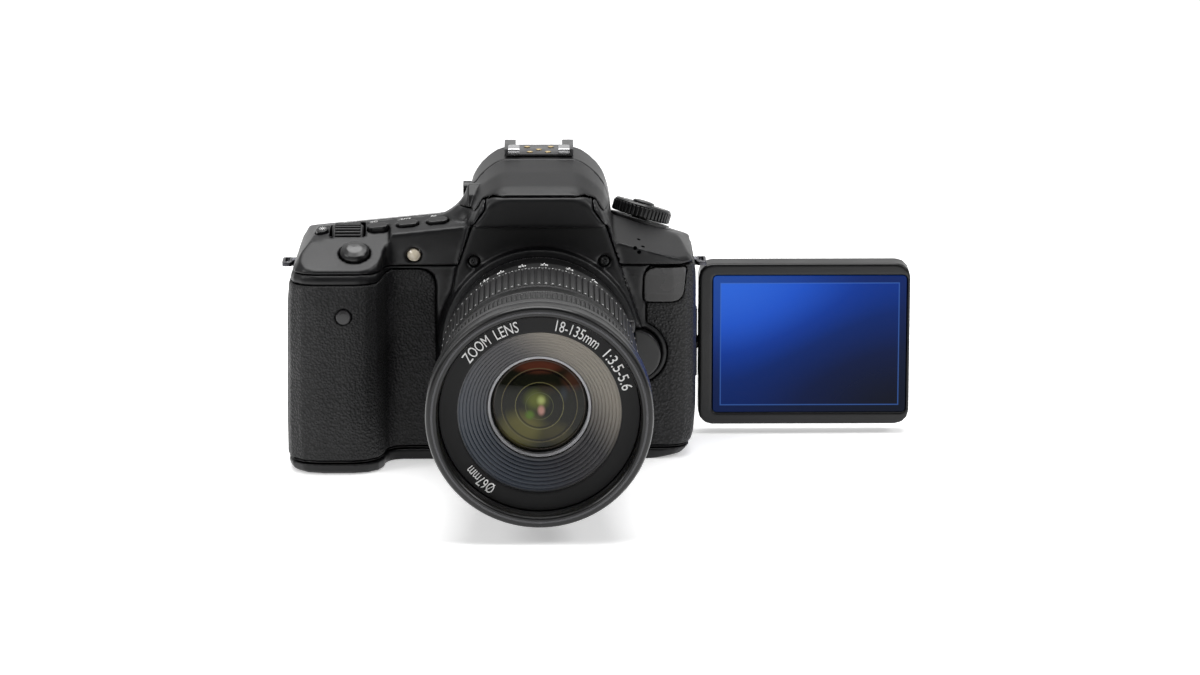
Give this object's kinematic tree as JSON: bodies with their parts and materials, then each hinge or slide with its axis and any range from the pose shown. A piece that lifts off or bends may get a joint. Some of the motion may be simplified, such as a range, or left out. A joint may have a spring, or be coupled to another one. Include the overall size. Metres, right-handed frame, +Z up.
{
  "type": "dslr camera",
  "caption": "Single lens reflex camera with zoom lens, side grip, pop-up flash and a hinged screen swung out to the side.",
  "frame": {"origin": "on the flat base, under the lens axis, in the plane of the image sensor", "axes": "+X towards the swung-out screen, the grip is on -X; the lens looks along -Y; +Z up out of the top"},
  "size_m": [0.2244, 0.1698, 0.1075],
  "materials": {
    "shell": "fine satin grain, moulded polycarbonate",
    "rubber": "leather-grain or ribbed rubber",
    "gloss_black": "polished",
    "steel": "satin",
    "badge": "dark grey, semi-gloss",
    "lamp": "milky, translucent",
    "coated_glass": "multi-coated",
    "display": "glossy display",
    "board": "circuit board",
    "mirror": "front-silvered"
  },
  "bodies": {
    "root": {"front_cover": "shell", "top_cover": "shell", "rear_cover": "shell", "bottom_cover": "shell", "grip_rubber": "rubber", "side_rubber": "rubber", "thumb_rubber": "rubber", "badge_plate": "badge", "mount_ring": "steel", "hot_shoe": "steel", "front_screw_left": "gloss_black", "front_screw_right": "gloss_black", "self_timer_lamp": "lamp", "remote_window": "gloss_black", "top_display_window": "gloss_black", "tripod_socket": "steel", "strap_lug_left": "steel", "strap_lug_right": "steel", "eyecup": "rubber", "eyepiece_lens": "coated_glass", "viewfinder_prism": "coated_glass", "mirror_box": "shell", "image_sensor": "coated_glass", "main_board": "board", "battery": "gloss_black", "lens_barrel": "shell"},
    "shutter_button": {"shutter_button": "gloss_black"},
    "main_dial": {"main_dial": "rubber"},
    "af_button": {"af_button": "shell"},
    "drive_button": {"drive_button": "shell"},
    "iso_button": {"iso_button": "shell"},
    "light_button": {"light_button": "shell"},
    "mode_dial": {"mode_dial": "shell"},
    "mode_lock_button": {"mode_lock_button": "gloss_black"},
    "power_lever": {"power_lever": "shell"},
    "flash_head": {"flash_head": "shell", "flash_window": "lamp"},
    "flash_button": {"flash_button": "shell"},
    "lens_release_button": {"lens_release_button": "shell"},
    "depth_preview_button": {"depth_preview_button": "shell"},
    "reflex_mirror": {"reflex_mirror": "mirror"},
    "screen_arm": {"screen_arm": "shell"},
    "screen_housing": {"screen_housing": "shell", "screen_glass": "display"},
    "quick_dial": {"quick_dial": "shell"},
    "set_button": {"set_button": "shell"},
    "menu_button": {"menu_button": "shell"},
    "live_view_button": {"live_view_button": "shell"},
    "battery_door": {"battery_door": "shell"},
    "card_door": {"card_door": "shell"},
    "terminal_cover": {"terminal_cover": "rubber"},
    "dioptre_knob": {"dioptre_knob": "shell"},
    "zoom_ring": {"zoom_ring": "rubber"},
    "inner_barrel": {"inner_barrel": "shell", "name_ring": "shell", "front_baffle": "shell", "front_lens": "coated_glass"},
    "focus_ring": {"focus_ring": "rubber"},
    "focus_switch": {"focus_switch": "gloss_black"},
    "stabiliser_switch": {"stabiliser_switch": "gloss_black"}
  },
  "joints": [
    {"name": "shutter_press", "type": "slide", "parent": "root", "child": "shutter_button", "axis": [0, 0.4695, -0.8829], "range_m": [0, 0.0012], "stiffness_N_per_m": 300},
    {"name": "main_dial_turn", "type": "hinge", "parent": "root", "child": "main_dial", "pos_m": [-0.0669, -0.027, 0.0769], "axis": [1, 0, 0], "continuous": true},
    {"name": "af_press", "type": "slide", "parent": "root", "child": "af_button", "axis": [0.094, 0.2419, -0.9657], "range_m": [0, 0.0008], "stiffness_N_per_m": 300},
    {"name": "drive_press", "type": "slide", "parent": "root", "child": "drive_button", "axis": [0.094, 0.2419, -0.9657], "range_m": [0, 0.0008], "stiffness_N_per_m": 300},
    {"name": "iso_press", "type": "slide", "parent": "root", "child": "iso_button", "axis": [0.094, 0.2419, -0.9657], "range_m": [0, 0.0008], "stiffness_N_per_m": 300},
    {"name": "light_press", "type": "slide", "parent": "root", "child": "light_button", "axis": [0.094, 0.2419, -0.9657], "range_m": [0, 0.0008], "stiffness_N_per_m": 300},
    {"name": "mode_dial_turn", "type": "hinge", "parent": "root", "child": "mode_dial", "pos_m": [0.03585, -0.00275, 0.08152], "axis": [0.2805, 0.1564, 0.947], "range_deg": [-168, 168]},
    {"name": "mode_lock_press", "type": "slide", "parent": "mode_dial", "child": "mode_lock_button", "axis": [-0.2805, -0.1564, -0.947], "range_m": [0, 0.0009], "stiffness_N_per_m": 300},
    {"name": "power_switch_turn", "type": "hinge", "parent": "root", "child": "power_lever", "pos_m": [0.03515, -0.00314, 0.07915], "axis": [0.2805, 0.1564, 0.947], "range_deg": [-40, 0]},
    {"name": "flash_rise", "type": "hinge", "parent": "root", "child": "flash_head", "pos_m": [0, -0.0146, 0.1045], "axis": [-1, 0, 0], "range_deg": [0, 70]},
    {"name": "flash_button_press", "type": "slide", "parent": "root", "child": "flash_button", "axis": [-0.9404, 0, -0.3401], "range_m": [0, 0.0006], "stiffness_N_per_m": 300},
    {"name": "lens_release_press", "type": "slide", "parent": "root", "child": "lens_release_button", "axis": [0, 1, 0], "range_m": [0, 0.0016], "stiffness_N_per_m": 300},
    {"name": "depth_preview_press", "type": "slide", "parent": "root", "child": "depth_preview_button", "axis": [0, 1, 0], "range_m": [0, 0.0008], "stiffness_N_per_m": 300},
    {"name": "mirror_flip", "type": "hinge", "parent": "root", "child": "reflex_mirror", "pos_m": [0, -0.009, 0.058], "axis": [-1, 0, 0], "range_deg": [0, 45], "stiffness_Nm_per_rad": 0.02, "springref_deg": -8.59},
    {"name": "screen_swing", "type": "hinge", "parent": "root", "child": "screen_arm", "pos_m": [0.052, 0.01, 0.0333], "axis": [0, 0, -1], "range_deg": [-180, 0]},
    {"name": "screen_tilt", "type": "hinge", "parent": "screen_arm", "child": "screen_housing", "pos_m": [0.057, 0.008, 0.0333], "axis": [-1, 0, 0], "range_deg": [0, 270]},
    {"name": "quick_dial_turn", "type": "hinge", "parent": "root", "child": "quick_dial", "pos_m": [-0.05, 0.016, 0.03], "axis": [0, 1, 0], "continuous": true},
    {"name": "set_press", "type": "slide", "parent": "root", "child": "set_button", "axis": [0, -1, 0], "range_m": [0, 0.0008], "stiffness_N_per_m": 300},
    {"name": "menu_press", "type": "slide", "parent": "root", "child": "menu_button", "axis": [0, -1, 0], "range_m": [0, 0.0008], "stiffness_N_per_m": 300},
    {"name": "live_view_press", "type": "slide", "parent": "root", "child": "live_view_button", "axis": [0, -1, 0], "range_m": [0, 0.0008], "stiffness_N_per_m": 300},
    {"name": "battery_door_open", "type": "hinge", "parent": "root", "child": "battery_door", "pos_m": [-0.061, -0.028, 0.0002], "axis": [0, -1, 0], "range_deg": [0, 90]},
    {"name": "card_door_open", "type": "hinge", "parent": "root", "child": "card_door", "pos_m": [-0.0887, 0.0085, 0.038], "axis": [0, 0, -1], "range_deg": [0, 90]},
    {"name": "terminal_cover_open", "type": "hinge", "parent": "root", "child": "terminal_cover", "pos_m": [0.0553, -0.0074, 0.037], "axis": [0, 0, 1], "range_deg": [-95, 0]},
    {"name": "dioptre_turn", "type": "hinge", "parent": "root", "child": "dioptre_knob", "pos_m": [-0.0245, 0.009, 0.089], "axis": [1, 0, 0], "range_deg": [-150, 150]},
    {"name": "zoom_turn", "type": "hinge", "parent": "root", "child": "zoom_ring", "pos_m": [0, -0.0583, 0.0435], "axis": [0, -1, 0], "range_deg": [0, 68]},
    {"name": "barrel_extend", "type": "slide", "parent": "root", "child": "inner_barrel", "axis": [0, -1, 0], "range_m": [0, 0.048]},
    {"name": "focus_turn", "type": "hinge", "parent": "root", "child": "focus_ring", "pos_m": [0, -0.112, 0.0435], "axis": [0, -1, 0], "range_deg": [0, 90]},
    {"name": "focus_switch_slide", "type": "slide", "parent": "root", "child": "focus_switch", "axis": [0, 0, -1], "range_m": [0, 0.003]},
    {"name": "stabiliser_switch_slide", "type": "slide", "parent": "root", "child": "stabiliser_switch", "axis": [0, 0, -1], "range_m": [0, 0.003]}
  ],
  "couplings": [
    {"joint": "barrel_extend", "follows": "zoom_turn", "m_per_rad": 0.040444}
  ]
}
